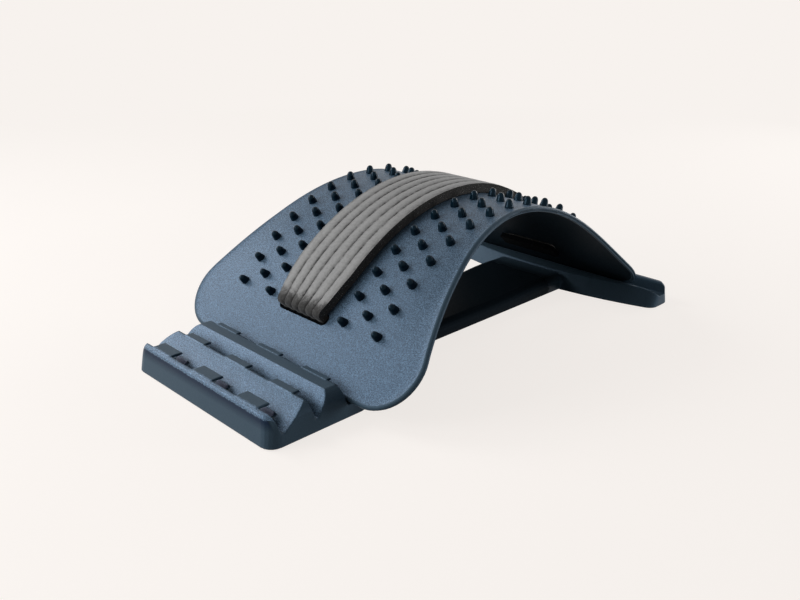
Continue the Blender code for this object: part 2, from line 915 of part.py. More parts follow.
def windows():
    """Openings under the tabs, down into the hollow below."""
    pieces = []
    for row, foot in enumerate(notches):
        low_y = foot - stop_lean
        margin = window_margin if row else outer_window_margin
        high_y = max(tab_end(row) + margin, foot + window_least_reach)
        for index in range(3):
            low = (tab_left(index), low_y, notch_floor_z - wall - window_margin)
            high = (window_right(row, index), high_y, stop_tops[row] - window_margin)
            pieces.append(box("window", low, high))
    return gather("windows", pieces)


def tabs():
    """Thin smooth tabs that reach from each stop out over its notch."""
    pieces = []
    for row in range(len(notches)):
        top = stop_tops[row] + tab_rise
        low = top - tab_thickness
        root = notches[row] - stop_lean - min(tab_root, stop_lands[row] + tab_rise)
        end = tab_end(row)
        corners = [(root, low, 0.0), (root, stop_tops[row], 0.0), (root + tab_rise, top, 0.0),
                   (end - tab_thickness / 2, top, 0.0), (end, top - tab_thickness / 2, 0.0), (end, low, 0.0)]
        outline = rounded_outline(corners, 1)
        for index in range(3):
            left = tab_left(index)
            pieces.append(prism("tab", outline, "X", left, left + tab_widths[row]))
    return gather("tabs", pieces)


def rails():
    """A low rail across each of the outermost windows."""
    low_y = notches[0] + rail_start
    pieces = []
    for index in range(3):
        low = (tab_left(index) - wall, low_y, rail_top - rail_thickness)
        high = (window_right(0, index) + wall, low_y + rail_width, rail_top)
        pieces.append(box("rail", low, high))
    return gather("rails", pieces)


def recesses():
    """Seats for the anti-slip pads."""
    radius = foot_radius + slot_clearance / 4
    pieces = [disc("recess", x, y, radius, -overrun, foot_recess) for x, y in foot_places().values()]
    return gather("recesses", pieces)


def base(look):
    """The one-piece base: notched block, bridge and far block, hollow underneath."""
    body = near_block()
    combine(body, bridge(), "UNION")
    combine(body, far_block(), "UNION")
    tall = last_ridge_z + overrun
    for hollow in (near_hollow(), bridge_hollow(), far_hollow()):
        combine(hollow, bosses(-2 * overrun, tall), "DIFFERENCE")
        combine(body, hollow, "DIFFERENCE")
    combine(body, windows(), "DIFFERENCE")
    combine(body, tabs(), "UNION")
    combine(body, rails(), "UNION")
    combine(body, recesses(), "DIFFERENCE")
    finish(body, math.radians(35), look)
    return body


def foot_pad(name, look):
    """One anti-slip pad, proud of the base's rim."""
    x, y = foot_places()[name]
    body = disc("foot_pad_" + name, 0.0, 0.0, foot_radius, -foot_drop, foot_recess - seat_gap)
    body.location = (x, y + centre_shift, foot_drop)
    finish(body, math.radians(35), look)
    return body


def hinge_empty():
    """The arch turns about the round edge that stands in the far channel."""
    made = bpy.data.objects.new("arch_hinge", None)
    bpy.context.scene.collection.objects.link(made)
    made.location = (0.0, axis_y + centre_shift, axis_z + foot_drop)
    return made


def build():
    """Make every sub-part in its place."""
    clear_scene()
    grained = material("grained_plastic", (0.055, 0.080, 0.110), 0.48)
    satin = material("satin_plastic", (0.040, 0.060, 0.085), 0.42)
    foam = material("ribbed_foam", (0.140, 0.140, 0.140), 0.90)
    rubber = material("foot_rubber", (0.020, 0.020, 0.022), 0.80)
    frame = base(satin)
    frame.location = (0.0, centre_shift, foot_drop)
    hinge = hinge_empty()
    for piece in (arch_panel(grained), foam_pad(foam)):
        piece.parent = hinge
    for name in foot_places():
        foot_pad(name, rubber)


build()
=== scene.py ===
"""Looks of the arched back stretcher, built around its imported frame. Metres, +Z up."""

import math
import random

import bmesh
import bpy
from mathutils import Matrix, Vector
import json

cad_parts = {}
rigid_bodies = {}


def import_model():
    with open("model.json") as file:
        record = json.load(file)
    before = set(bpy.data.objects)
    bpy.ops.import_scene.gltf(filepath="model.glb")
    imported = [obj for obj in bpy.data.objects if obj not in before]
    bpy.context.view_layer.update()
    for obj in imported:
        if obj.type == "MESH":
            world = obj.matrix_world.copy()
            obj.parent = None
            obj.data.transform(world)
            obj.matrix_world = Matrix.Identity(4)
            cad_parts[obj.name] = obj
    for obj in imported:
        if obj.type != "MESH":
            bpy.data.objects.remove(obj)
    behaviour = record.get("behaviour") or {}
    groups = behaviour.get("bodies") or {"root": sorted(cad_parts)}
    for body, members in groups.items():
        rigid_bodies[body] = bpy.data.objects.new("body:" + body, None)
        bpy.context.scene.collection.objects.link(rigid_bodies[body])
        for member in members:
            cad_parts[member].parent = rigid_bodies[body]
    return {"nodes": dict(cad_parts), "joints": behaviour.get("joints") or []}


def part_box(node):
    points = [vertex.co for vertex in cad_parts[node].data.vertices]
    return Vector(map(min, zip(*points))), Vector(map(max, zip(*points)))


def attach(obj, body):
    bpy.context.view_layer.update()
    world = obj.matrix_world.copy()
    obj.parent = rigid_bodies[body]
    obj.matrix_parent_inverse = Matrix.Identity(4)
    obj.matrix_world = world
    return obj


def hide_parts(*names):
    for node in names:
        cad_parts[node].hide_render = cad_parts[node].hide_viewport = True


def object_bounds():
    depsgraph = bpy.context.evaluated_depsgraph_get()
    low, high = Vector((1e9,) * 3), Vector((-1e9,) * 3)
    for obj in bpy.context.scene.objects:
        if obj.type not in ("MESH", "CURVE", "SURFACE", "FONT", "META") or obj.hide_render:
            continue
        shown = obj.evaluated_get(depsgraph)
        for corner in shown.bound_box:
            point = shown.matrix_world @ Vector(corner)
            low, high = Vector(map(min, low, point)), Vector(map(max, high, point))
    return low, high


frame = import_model()
cad_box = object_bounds()

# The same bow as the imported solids: lengths are measured on the panel's top, from the crest.
near_half_length = 0.1940
near_bend_length = 0.1940
near_end_angle = math.radians(48.1)
far_half_length = 0.1925
far_bend_length = 0.1470
far_end_angle = math.radians(43.007)
waist_half_width = 0.0858
near_flare_half_width = 0.1252
near_flare_power = 1.58
far_flare_half_width = 0.1036
far_flare_power = 2.45
corner_radius = 0.0330
thickness = 0.0026
rim_width = 0.0036
rim_rise = 0.0010
rim_drop = 0.0010
rim_ease = 0.0004
rim_heel = 0.0005
rim_heel_share = 0.42
edge_radius = (thickness + rim_rise + rim_drop) / 2
edge_centre_height = rim_rise - edge_radius
roll_station = -0.0780
roll_reach = 0.0680
roll_start = 0.0700
roll_width = 0.0287
roll_drop = 0.0018

nub_row_pitch = 0.0212
nub_rows_each_way = 7
nub_inner_column = 0.0410
nub_column_pitch = 0.0169
nub_columns = 3
nub_height = 0.0065
nub_tip_rise = 0.00002
nub_sides = 24
nub_flutes = 6
nub_flute_depth = 0.045
nub_flute_bias = 0.4

pad_half_width = 0.0290
pad_end_half_width = 0.0246
pad_thickness = 0.0080
pad_tuck_thickness = 0.0070
pad_shoulder_radius = 0.0048
pad_tuck_depth = 0.0060
pad_ribs = 6
pad_groove_depth = 0.0011
pad_reach = 0.1553
pad_draw_in_length = 0.0450
slot_clearance = 0.0012
slot_side_clearance = 0.0021
slot_corner_radius = 0.0046
seat_gap = 0.0003

tab_pitch = 0.0508
tab_offset = -0.0126
tab_width = 0.0255
notch_side = 0.0010
notch_extra = 0.0020
notch_depth = 0.0062
notch_overhang = 0.0100
notch_corner_radius = 0.0010
tabs_in_a_row = 3

# How finely the panel is drawn and cut, where its grain ends, and where the shading breaks.
panel_columns = 56
outline_spacing = 0.0030
corner_steps = 16
corner_passes = 40
slot_corner_steps = 8
notch_corner_steps = 4
cutter_half_height = 0.010
grained_rings = 3
wall_lean = 0.3
panel_crease = 32
nub_crease = 60
strip_crease = 38

# The strip's ribs: how finely they are drawn, how far they wander, how flat their crowns are.
rib_steps = 12
rib_wander = 0.030
rib_flatness = 0.42
groove_drift = 0.12
edge_sink = 0.0004
strip_seed = 7
drift_knots = 60

# The strip's length and sides, and its ends that roll down into the slots.
strip_steps = 76
shoulder_steps = 12
tuck_steps = 3
back_turn = 3
tuck_wrap = thickness * 1.2
side_waist = 0.012
SIDE_SHARES = (0.12, 0.35, 0.65, 0.9)
back_edge_share = 0.97
back_inner_share = 0.4
foot_spread = 0.0030
end_slimming = 0.0012
end_gap = 0.0009
# Painted shade on the strip's turned-down ends: how far before the end it starts, and over what length
# it deepens.
shade_start = 0.0175
shade_length = 0.0125

# The base's softened edges, and where its mould is grained.
base_voxel = 0.0005
base_smoothing = 2
base_smoothing_factor = 0.5
base_keep = 0.20
grained_depth = 0.0640
grained_floor = 0.0090
grained_half_width = 0.0838
slope_lean = 0.25
slope_rise = 0.50
lip_depth = 0.0072
lip_grain_from = 0.0185

# The sloping tops of the rails under the outermost windows.
first_notch = 0.0104
outer_tab_width = 0.0225
cap_from = 0.0042
cap_to = 0.0082
cap_low = 0.0112
cap_high = 0.0142
cap_length = 0.0112
cap_overlap = 0.0003
cap_depth = 0.001
# Painted light: a pale tone standing in for the floor seen through each window.
cap_painted_floor_colour = (0.44, 0.48, 0.66)

# Finishes, as linear colours.
WHITE = (1.0, 1.0, 1.0)
smooth_colour = (0.062, 0.102, 0.140)
grained_colour = (0.080, 0.130, 0.190)
base_grain_gain = 1.15
plastic_sheen = (0.40, 0.64, 1.0)
plastic_ior = 1.38
nub_colour = (0.003, 0.012, 0.021)
nub_gloss = 0.15
nub_sheen = (0.40, 0.70, 1.0)
foam_colour = (0.41, 0.41, 0.41)
foam_cut_colour = (0.050, 0.048, 0.046)
# Painted shade: near-black foam where the strip's ends are tucked below the panel.
tuck_shade_colour = (0.0012, 0.0018, 0.0026)
rubber_colour = (0.020, 0.020, 0.022)
# Painted shade: how dark the panel's underside and the walls of its cuts are drawn.
underside_shade_tone = 0.22

# Painted shade on the bridge under the arch, along the length, and a painted dark reflection under the
# lip's rounded edge, by height.
bridge_from = -0.136
bridge_to = 0.156
bridge_fade = 0.02
BRIDGE_SHADE_STOPS = ((0.0, 1.0), (1.0, 0.16))
bridge_shade_tone = 0.12
lip_reflection_low = 0.0115
lip_reflection_high = 0.0205
lip_reflection_depth = 0.004
lip_reflection_fade = 0.002
RISING_STOPS = ((0.0, 0.0), (1.0, 1.0))
lip_reflection_tone = (0.20, 0.25, 0.38)
LIP_REFLECTION_STOPS = ((0.0, WHITE), (0.6, lip_reflection_tone), (0.85, lip_reflection_tone), (1.0, WHITE))

# The plastics' grain: fine specks, whose lighter ones are painted glints of its sparkle, coarser pebbles
# and a slow drift of the tone.
speck_scale = 1350.0
SPECK_GLINT_STOPS = ((0.36, -1.0), (0.50, -0.3), (0.66, 1.6))
speck_depth = 0.0003
pebble_scale = 700.0
PEBBLE_RANGE = (0.3, 0.7)
pebble_depth = 0.0004
roughness_dip = 0.05
roughness_gain = 0.07
drift_scale = 14.0
DRIFT_STOPS = ((0.3, 0.93), (0.7, 1.0))

# The nubs' finish.
nub_drift_scale = 120.0
NUB_DRIFT_STOPS = ((0.3, 1.0), (0.75, 1.7))
nub_grain_scale = 700.0
NUB_ROUGHNESS = (0.06, 0.12)
nub_bump_scale = 900.0
nub_bump_depth = 0.0001

# The foam's skin, with painted shade in its grooves and on its turned-down ends, its cut cells, and the
# rubber.
SKIN_SHADE_STOPS = ((0.0, 1.0), (0.50, 0.78), (0.80, 0.40), (1.0, 0.10))
streak_scale = 420.0
STREAK_STOPS = ((0.30, 0.80), (0.55, 1.0))
streak_depth = 0.0004
blot_scale = 260.0
BLOT_STOPS = ((0.42, 0.35), (0.56, 1.0))
BLOT_RANGE = (0.15, 0.6)
pore_scale = 1300.0
pore_depth = 0.0003
cell_scale = 620.0
CELL_STOPS = ((0.10, 7.0), (0.24, 0.8), (0.75, 1.3))
cell_depth = 0.0005
rubber_tone_scale = 300.0
RUBBER_STOPS = ((0.3, 0.7), (0.7, 1.7))
rubber_bump_scale = 800.0
rubber_bump_depth = 0.0002

# Stage: the pale tone that is seen, also in reflections, and the softer light on the object.
pale = (0.930, 0.888, 0.855)
floor_glow = 0.86
floor_lift = 2.05
fade_from = 0.45
fade_to = 1.15
floor_bounce = (0.12, 0.12, 0.12)
floor_reach = 40.0
ambient = 0.10
BACKGROUND_RAYS = ("Is Camera Ray", "Is Glossy Ray", "Is Transmission Ray")

# Each lamp's direction from the object, its distance, its width and its brightness.
LAMPS = (
    ("key", (-0.78, -0.38, 0.50), 1.60, 0.78, 5.4),
    ("front", (-0.36, -0.88, 0.30), 1.20, 0.60, 5.3),
    ("back", (0.10, 0.95, 0.22), 1.20, 0.60, 3.2),
    ("side", (0.78, 0.60, 0.12), 1.10, 0.40, 5.8),
)
lamp_aim = (0.0, 0.0, 0.05)

# The photograph's viewpoint.
camera_place = (0.4536, -0.4505, 0.2765)
camera_pitch = 21.709
camera_turn = 45.866
focal_pixels = 861.46
picture_width = 800
sensor_width = 36.0

# The order in which each piece's materials are given.
PANEL_GRAINED, PANEL_SMOOTH, PANEL_UNDERSIDE_SHADE = 0, 1, 2
STRIP_SKIN, STRIP_CUT, STRIP_TUCK_SHADE = 0, 1, 2
BASE_SMOOTH, BASE_GRAINED, BASE_BRIDGE_SHADE = 0, 1, 2

bow_steps = 600
joint = frame["joints"][0]
body_base = joint["parent"]
body_arch = joint["child"]


def bow_slope(station):
    """Downward slope of the bow at a distance along it."""
    near = station < 0
    bend, angle = (near_bend_length, near_end_angle) if near else (far_bend_length, far_end_angle)
    return angle * math.sin(math.pi / 2 * min(abs(station) / bend, 1.0))


def bow_table(length):
    """Distance from the crest and fall below it along one half of the bow."""
    table = [(0.0, 0.0)]
    step = length / bow_steps
    for count in range(bow_steps):
        along, fall = table[-1]
        slope = bow_slope((count + 0.5) * step)
        table.append((along + abs(step) * math.cos(slope), fall + abs(step) * math.sin(slope)))
    return table


NEAR_BOW = bow_table(-near_half_length)
FAR_BOW = bow_table(far_half_length)


def bow_place(station, height):
    """Distance from the crest and fall below it of a point over the panel's top."""
    length, table = (near_half_length, NEAR_BOW) if station < 0 else (far_half_length, FAR_BOW)
    reach = min(abs(station), length)
    place = reach / length * bow_steps
    index = min(int(place), bow_steps - 1)
    low, high = table[index], table[index + 1]
    share = place - index
    along = low[0] + (high[0] - low[0]) * share
    fall = low[1] + (high[1] - low[1]) * share
    slope = bow_slope(station)
    beyond = abs(station) - reach
    along += beyond * math.cos(slope) + height * math.sin(slope)
    fall += beyond * math.sin(slope) - height * math.cos(slope)
    return math.copysign(along, station), fall


axis_along, axis_fall = bow_place(far_half_length - edge_radius, edge_centre_height)
shift_y = joint["pos_m"][1] - axis_along
crest_z = joint["pos_m"][2] + axis_fall


def smoothed(share):
    """A share kept between 0 and 1 and eased at both ends."""
    share = max(0.0, min(1.0, share))
    return share * share * (3 - 2 * share)


def flank_roll(x, station):
    """How far the near half's flanks roll down."""
    across = max(0.0, min(1.0, (abs(x) - roll_start) / roll_width))
    along = max(-1.0, min(1.0, (station - roll_station) / roll_reach))
    return roll_drop * across ** 2 * math.cos(math.pi / 2 * along)


def bowed(x, station, height):
    """A point of the flat moulding, carried onto the bow in the part's frame."""
    along, fall = bow_place(station, height - flank_roll(x, station))
    return (x, along + shift_y, crest_z - fall)


def bow_mesh(obj):
    """Carry a flat mesh onto the bow."""
    for vertex in obj.data.vertices:
        vertex.co = bowed(*vertex.co)
    obj.data.update()


# Mesh helpers

def mesh_object(name, points, faces):
    """An object with outward faces and smooth shading."""
    mesh = bpy.data.meshes.new(name)
    mesh.from_pydata([tuple(p) for p in points], [], faces)
    work = bmesh.new()
    work.from_mesh(mesh)
    bmesh.ops.recalc_face_normals(work, faces=work.faces)
    work.to_mesh(mesh)
    work.free()
    made = bpy.data.objects.new(name, mesh)
    bpy.context.scene.collection.objects.link(made)
    return made


def shade(obj, degrees):
    """Smooth shading with sharp edges past an angle."""
    obj.data.shade_smooth()
    obj.data.set_sharp_from_angle(angle=math.radians(degrees))


def apply_modifiers(obj):
    """Keep what the modifiers give."""
    depsgraph = bpy.context.evaluated_depsgraph_get()
    mesh = bpy.data.meshes.new_from_object(obj.evaluated_get(depsgraph))
    obj.modifiers.clear()
    obj.data = mesh


def cut(obj, tools):
    """Cut solids out of an object."""
    for tool in tools:
        modifier = obj.modifiers.new("cut", "BOOLEAN")
        modifier.operation = "DIFFERENCE"
        modifier.solver = "EXACT"
        modifier.object = tool
        apply_modifiers(obj)
        bpy.data.objects.remove(tool)


def rounded_rectangle(low, high, radius, steps):
    """Corner arcs of a rectangle in the panel's plane."""
    points = []
    corners = (
        (high[0], high[1], 0),
        (low[0], high[1], 90),
        (low[0], low[1], 180),
        (high[0], low[1], 270),
    )
    for x, y, start in corners:
        cx = x - math.copysign(radius, x - (low[0] + high[0]) / 2)
        cy = y - math.copysign(radius, y - (low[1] + high[1]) / 2)
        for step in range(steps + 1):
            angle = math.radians(start + 90 * step / steps)
            points.append((cx + radius * math.cos(angle), cy + radius * math.sin(angle)))
    return points


def slab(name, outline, low, high):
    """An outline pushed up through a height."""
    count = len(outline)
    points = [(x, y, low) for x, y in outline] + [(x, y, high) for x, y in outline]
    faces = [(i, (i + 1) % count, count + (i + 1) % count, count + i) for i in range(count)]
    faces += [tuple(range(count)), tuple(range(count, 2 * count))]
    return mesh_object(name, points, faces)


# Panel

END_SHAPES = {
    -1: (near_half_length, near_flare_half_width, near_flare_power),
    1: (far_half_length, far_flare_half_width, far_flare_power),
}


def flare(station, end):
    """Half width of the panel and the angle of its side edge."""
    length, widest, power = END_SHAPES[end]
    reach = length - corner_radius
    share = station / reach
    growth = widest - waist_half_width
    slope = growth / reach * power * share ** (power - 1)
    return waist_half_width + growth * share ** power, math.atan(slope)


def quarter(end):
    """Outline points and normals from the crest round one corner to the end edge."""
    length = END_SHAPES[end][0]
    start = length - corner_radius
    for _ in range(corner_passes):
        start = length - corner_radius * (1 + math.sin(flare(start, end)[1]))
    count = int(start / outline_spacing)
    points = []
    for index in range(count):
        station = start * (index + 0.5) / count
        half, angle = flare(station, end)
        points.append((half, station, math.cos(angle), -math.sin(angle)))
    half, angle = flare(start, end)
    first = -angle
    centre_x = half - corner_radius * math.cos(first)
    centre_s = length - corner_radius
    for step in range(corner_steps + 1):
        angle = first + (math.pi / 2 - first) * step / corner_steps
        out = (math.cos(angle), math.sin(angle))
        points.append((centre_x + corner_radius * out[0], centre_s + corner_radius * out[1], *out))
    return points


# Inset and height where the plate runs up to the bead.
RIM_FOOT = (
    (rim_width + 0.0030, 0.0),
    (rim_width + 0.0014, 0.00010),
    (rim_width, 0.00026),
    (edge_radius + 0.0003, rim_rise - rim_ease - 0.00008),
)

# Angle round the edge, and how deep the groove is there.
RIM_ARC = (
    (90, 0.0),
    (75, 0.0),
    (60, 0.0),
    (45, 0.0),
    (30, 0.0),
    (15, 0.0),
    (4, 0.0),
    (-4, 0.0005),
    (-12, 0.0007),
    (-32, 0.0007),
    (-42, 0.0005),
    (-48, 0.0),
    (-60, 0.0),
    (-75, 0.0),
    (-90, 0.0),
)


def rim_section():
    """Inset and height round the edge: a raised bead, a groove and a lower bead."""
    section = list(RIM_FOOT)
    for degrees, sink in RIM_ARC:
        radius = edge_radius - sink
        angle = math.radians(degrees)
        ease = rim_ease * max(0.0, math.sin(angle))
        height = edge_centre_height + radius * math.sin(angle) - ease
        section.append((edge_radius - radius * math.cos(angle), height))
    section.append((rim_width - rim_heel, -thickness - rim_drop * rim_heel_share))
    section.append((rim_width, -thickness))
    return section


def edge_loop(rows):
    """The outline once round: place, outward normal, row and column of the plate's grid."""
    edge = []
    for column in range(panel_columns + 1):
        x, s, _, ns = rows[0]
        edge.append((x * (2 * column / panel_columns - 1), s, 0.0, ns, 0, column))
    for index in range(1, len(rows)):
        edge.append((*rows[index], index, panel_columns))
    for column in range(panel_columns - 1, -1, -1):
        x, s, _, ns = rows[-1]
        edge.append((x * (2 * column / panel_columns - 1), s, 0.0, ns, len(rows) - 1, column))
    for index in range(len(rows) - 2, 0, -1):
        x, s, nx, ns = rows[index]
        edge.append((-x, s, -nx, ns, index, 0))
    return edge


def add_point(points, point):
    """Add a point and give its number."""
    points.append(point)
    return len(points) - 1


def edge_ring(points, edge, inset, height):
    """The outline moved in by an inset, at a height."""
    ring = []
    for x, s, nx, ns, _, _ in edge:
        ring.append(add_point(points, (x - nx * inset, s - ns * inset, height)))
    return ring


def plate_grid(points, edge, row_count, inset, height):
    """One flat side of the panel: the number of each grid point."""
    ring = edge_ring(points, edge, inset, height)
    grid = {place[4:]: number for place, number in zip(edge, ring)}
    for row in range(1, row_count - 1):
        left = points[grid[(row, 0)]]
        right = points[grid[(row, panel_columns)]]
        for column in range(1, panel_columns):
            share = column / panel_columns
            point = (left[0] + (right[0] - left[0]) * share, left[1], height)
            grid[(row, column)] = add_point(points, point)
    return grid


def plate_faces(grid, row_count):
    """The faces of one flat side."""
    faces = []
    for row in range(row_count - 1):
        for column in range(panel_columns):
            corners = ((row, column), (row, column + 1), (row + 1, column + 1), (row + 1, column))
            faces.append(tuple(grid[corner] for corner in corners))
    return faces


def ring_faces(rings):
    """Faces between neighbouring closed rings."""
    faces = []
    for low, high in zip(rings, rings[1:]):
        count = len(low)
        for i in range(count):
            j = (i + 1) % count
            faces.append((low[i], low[j], high[j], high[i]))
    return faces


def flat_shell(materials):
    """The panel's plate and rim as moulded, lying flat, with a material for each of its zones."""
    near = [(x, -s, nx, -ns) for x, s, nx, ns in reversed(quarter(-1))]
    rows = near + quarter(1)
    section = rim_section()
    edge = edge_loop(rows)
    points = []
    top = plate_grid(points, edge, len(rows), *section[0])
    bottom = plate_grid(points, edge, len(rows), *section[-1])
    rings = [[top[place[4:]] for place in edge]]
    for inset, height in section[1:-1]:
        rings.append(edge_ring(points, edge, inset, height))
    rings.append([bottom[place[4:]] for place in edge])
    faces = plate_faces(top, len(rows)) + plate_faces(bottom, len(rows)) + ring_faces(rings)
    flat = mesh_object("panel_shell", points, faces)
    dress(flat, *materials)
    side_faces = (len(rows) - 1) * panel_columns
    first_plain = 2 * side_faces + grained_rings * len(edge)
    looks = []
    for number in range(len(faces)):
        # The underside gets painted shade.
        if side_faces <= number < 2 * side_faces:
            looks.append(PANEL_UNDERSIDE_SHADE)
        elif number >= first_plain:
            looks.append(PANEL_SMOOTH)
        else:
            looks.append(PANEL_GRAINED)
    flat.data.polygons.foreach_set("material_index", looks)
    return flat


def panel_cutters():
    """Solids for the strip's two slots and for the cut-outs that clear the tabs."""
    side = pad_end_half_width + slot_side_clearance
    inner = pad_reach - pad_tuck_thickness - slot_clearance
    outer = pad_reach + slot_clearance
    tools = []
    for end in (-1, 1):
        low, high = sorted((inner * end, outer * end))
        outline = rounded_rectangle((-side, low), (side, high), slot_corner_radius, slot_corner_steps)
        tools.append(slab("slot", outline, -cutter_half_height, cutter_half_height))
    for index in range(tabs_in_a_row):
        left = tab_pitch * (index - 1) + tab_offset
        low = (left - notch_side, -near_half_length - notch_overhang)
        high = (left + tab_width + notch_extra, -near_half_length + notch_depth)
        outline = rounded_rectangle(low, high, notch_corner_radius, notch_corner_steps)
        tools.append(slab("notch", outline, -cutter_half_height, cutter_half_height))
    return tools


def panel_shell(materials):
    """The panel's plate and rim, cut for the strip and the tabs, then bowed."""
    made = flat_shell(materials)
    cut(made, panel_cutters())
    # The walls of the slots and cut-outs get the underside's painted shade too.
    wall_reach = near_half_length - notch_depth / 2
    for face in made.data.polygons:
        inside = abs(face.center.x) < waist_half_width and abs(face.center.y) < wall_reach
        if inside and abs(face.normal.z) < wall_lean:
            face.material_index = PANEL_UNDERSIDE_SHADE
    bow_mesh(made)
    shade(made, panel_crease)
    return made


# A nub's radius, height and share of the flutes' depth, from its foot to its tip.
NUB_PROFILE = (
    (0.0034, -0.0006, 0.0),
    (0.0033, 0.0004, 0.0),
    (0.0032, 0.0012, 0.5),
    (0.0030, 0.0022, 0.9),
    (0.0028, 0.0033, 1.0),
    (0.0026, 0.0043, 1.0),
    (0.0022, 0.0052, 1.0),
    (0.0017, 0.0059, 0.8),
    (0.0011, 0.0063, 0.5),
    (0.0005, 0.0065, 0.2),
)


def nub_places():
    """Every nub's place on the flat panel, the middle columns staggered."""
    places = []
    for column in range(nub_columns):
        x = nub_inner_column + nub_column_pitch * column
        staggered = column == 1
        count = 2 * nub_rows_each_way + (0 if staggered else 1)
        first = -nub_row_pitch * (nub_rows_each_way - (0.5 if staggered else 0.0))
        for row in range(count):
            station = first + nub_row_pitch * row
            places += [(x, station), (-x, station)]
    return places


def add_nub(points, faces, x, station):
    """One blunt bullet with shallow flutes, standing square to the bow."""
    base = len(points)
    for radius, height, flute in NUB_PROFILE:
        for index in range(nub_sides):
            angle = 2 * math.pi * index / nub_sides
            wave = math.cos(nub_flutes * angle) - nub_flute_bias
            r = radius * (1 + nub_flute_depth * flute * wave)
            points.append(bowed(x + r * math.cos(angle), station + r * math.sin(angle), height))
    tip = add_point(points, bowed(x, station, nub_height + nub_tip_rise))
    rings = [list(range(start, start + nub_sides)) for start in range(base, tip, nub_sides)]
    faces += ring_faces(rings)
    top = rings[-1]
    faces += [(top[i], top[(i + 1) % nub_sides], tip) for i in range(nub_sides)]
    faces.append(tuple(rings[0]))


def nub_field():
    """Every nub of the panel."""
    points, faces = [], []
    for x, station in nub_places():
        add_nub(points, faces, x, station)
    field = mesh_object("nubs", points, faces)
    shade(field, nub_crease)
    return field


# Foam strip

def pad_width_at(station):
    """Half width of the strip, drawn in towards its slots."""
    start = pad_reach - pad_draw_in_length
    ease = smoothed((abs(station) - start) / pad_draw_in_length)
    return pad_half_width + (pad_end_half_width - pad_half_width) * ease


def strip_path():
    """Outer point, its normal and the inner point, all along the strip from end to end."""
    top = seat_gap + pad_thickness
    inner = pad_reach - pad_tuck_thickness
    arc_s = pad_reach - end_gap - pad_shoulder_radius
    arc_h = top - pad_shoulder_radius
    foot = -thickness - pad_tuck_depth
    half = []
    for index in range(strip_steps):
        station = arc_s * (index + 0.5) / strip_steps
        half.append(((station, top), (0.0, 1.0), (station, seat_gap)))
    for step in range(shoulder_steps + 1):
        angle = math.pi / 2 * (1 - step / shoulder_steps)
        out = (math.cos(angle), math.sin(angle))
        place = (arc_s + pad_shoulder_radius * out[0], arc_h + pad_shoulder_radius * out[1])
        back_s = arc_s + (inner - arc_s) * min(1.0, back_turn * step / shoulder_steps)
        half.append((place, out, (back_s, seat_gap - tuck_wrap * step / shoulder_steps)))
    for step in range(1, tuck_steps + 1):
        height = arc_h + (foot - arc_h) * step / tuck_steps
        out = pad_reach + (foot_spread if step > 1 else -end_gap)
        back = inner - (foot_spread if step > 1 else 0.0)
        half.append(((out, height), (1.0, 0.0), (back, min(seat_gap - tuck_wrap, height))))
    mirror = [((-a[0], a[1]), (-n[0], n[1]), (-b[0], b[1])) for a, n, b in reversed(half)]
    return mirror + half


def rib_sink(rib, drift):
    """Depth below the rib's crown: flat rounded ribs with narrow grooves between them."""
    wave = abs(math.sin(math.pi * (rib + rib_wander * drift)))
    return pad_groove_depth * (1 - wave ** rib_flatness) * (1 + groove_drift * drift)


def strip_half_width(place, turned):
    """Half width of the strip at a place on its path, wider where it fills the slot below."""
    if place[1] < -thickness:
        return pad_end_half_width + slot_side_clearance + foot_spread
    return pad_width_at(place[0]) - end_slimming * turned


def strip_ring(place, normal, back, drifts):
    """One section across the strip, with the painted shade of each of its points, in its grooves and on
    its turned-down ends.
    """
    turned = smoothed((abs(place[0]) - pad_reach + shade_start) / shade_length)
    half = strip_half_width(place, turned)
    across = pad_ribs * rib_steps
    ring, groove = [], []
    for index in range(across + 1):
        rib = index / rib_steps
        sink = rib_sink(rib, drifts[int(rib + 0.5)])
        if index in (0, across):
            sink = edge_sink
        x = half * (2 * index / across - 1)
        ring.append((x, place[0] - normal[0] * sink, place[1] - normal[1] * sink))
        # Painted shade: deeper in the grooves, full where the end has turned down.
        groove.append(min(1.0, sink / pad_groove_depth) * (1 - turned) + turned)
    side = []
    for share in SIDE_SHARES:
        s = place[0] + (back[0] - place[0]) * share
        h = place[1] + (back[1] - place[1]) * share
        side.append((half * (1 - side_waist * math.sin(math.pi * share)), s, h))
    edge, inner = half * back_edge_share, half * back_inner_share
    ring += side + [(edge, *back), (inner, *back), (-inner, *back), (-edge, *back)]
    ring += [(-x, s, h) for x, s, h in reversed(side)]
    groove += [1.0] * (len(ring) - len(groove))
    return ring, groove


def rib_drift():
    """How far every groove wanders at each knot along the strip."""
    chooser = random.Random(strip_seed)
    return [[chooser.uniform(-1, 1) for _ in range(pad_ribs + 1)] for _ in range(drift_knots + 1)]


def drift_at(drift, walk):
    """The grooves' wandering between two knots."""
    row = int(walk)
    part = walk - row
    return [a * (1 - part) + b * part for a, b in zip(drift[row], drift[row + 1])]


def strip_looks(path, face_count, ring_size):
    """Skin on the ribs, cut foam on the sides and below, and painted shade where it is tucked into the
    slots.
    """
    looks = []
    for number in range(face_count):
        place = path[min(number // ring_size, len(path) - 1)][0]
        if place[1] < -thickness:
            looks.append(STRIP_TUCK_SHADE)
        elif number % ring_size >= pad_ribs * rib_steps:
            looks.append(STRIP_CUT)
        else:
            looks.append(STRIP_SKIN)
    return looks


